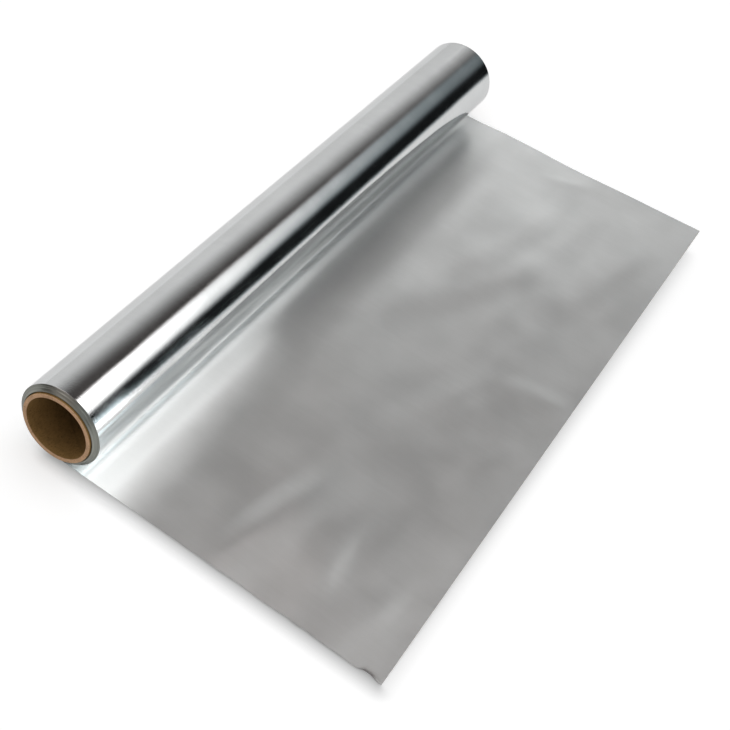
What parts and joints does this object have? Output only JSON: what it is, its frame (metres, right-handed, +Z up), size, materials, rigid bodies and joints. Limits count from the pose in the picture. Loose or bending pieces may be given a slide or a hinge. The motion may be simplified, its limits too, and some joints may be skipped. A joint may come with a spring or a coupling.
{
  "type": "aluminium foil roll",
  "caption": "Household roll of thin aluminium foil wound on a board core tube, lying on its own pulled-out sheet.",
  "frame": {"origin": "on the roll's axis, at the middle of the core tube's bore; the surface that the part lies on is one roll radius, 16.8 mm, below", "axes": "+Y along the roll's axis, from the end with the longer sheet side to the other; +X the way the foil is pulled off; +Z up"},
  "size_m": [0.1563, 0.3052, 0.0336],
  "materials": {
    "foil": "bright rolled side outside on the roll, matte rolled side up on the pulled-out sheet",
    "core_board": "plain brown spirally wound board, cut edges lighter"
  },
  "bodies": {
    "root": {"core_tube": "core_board", "foil": "foil"}
  },
  "joints": []
}
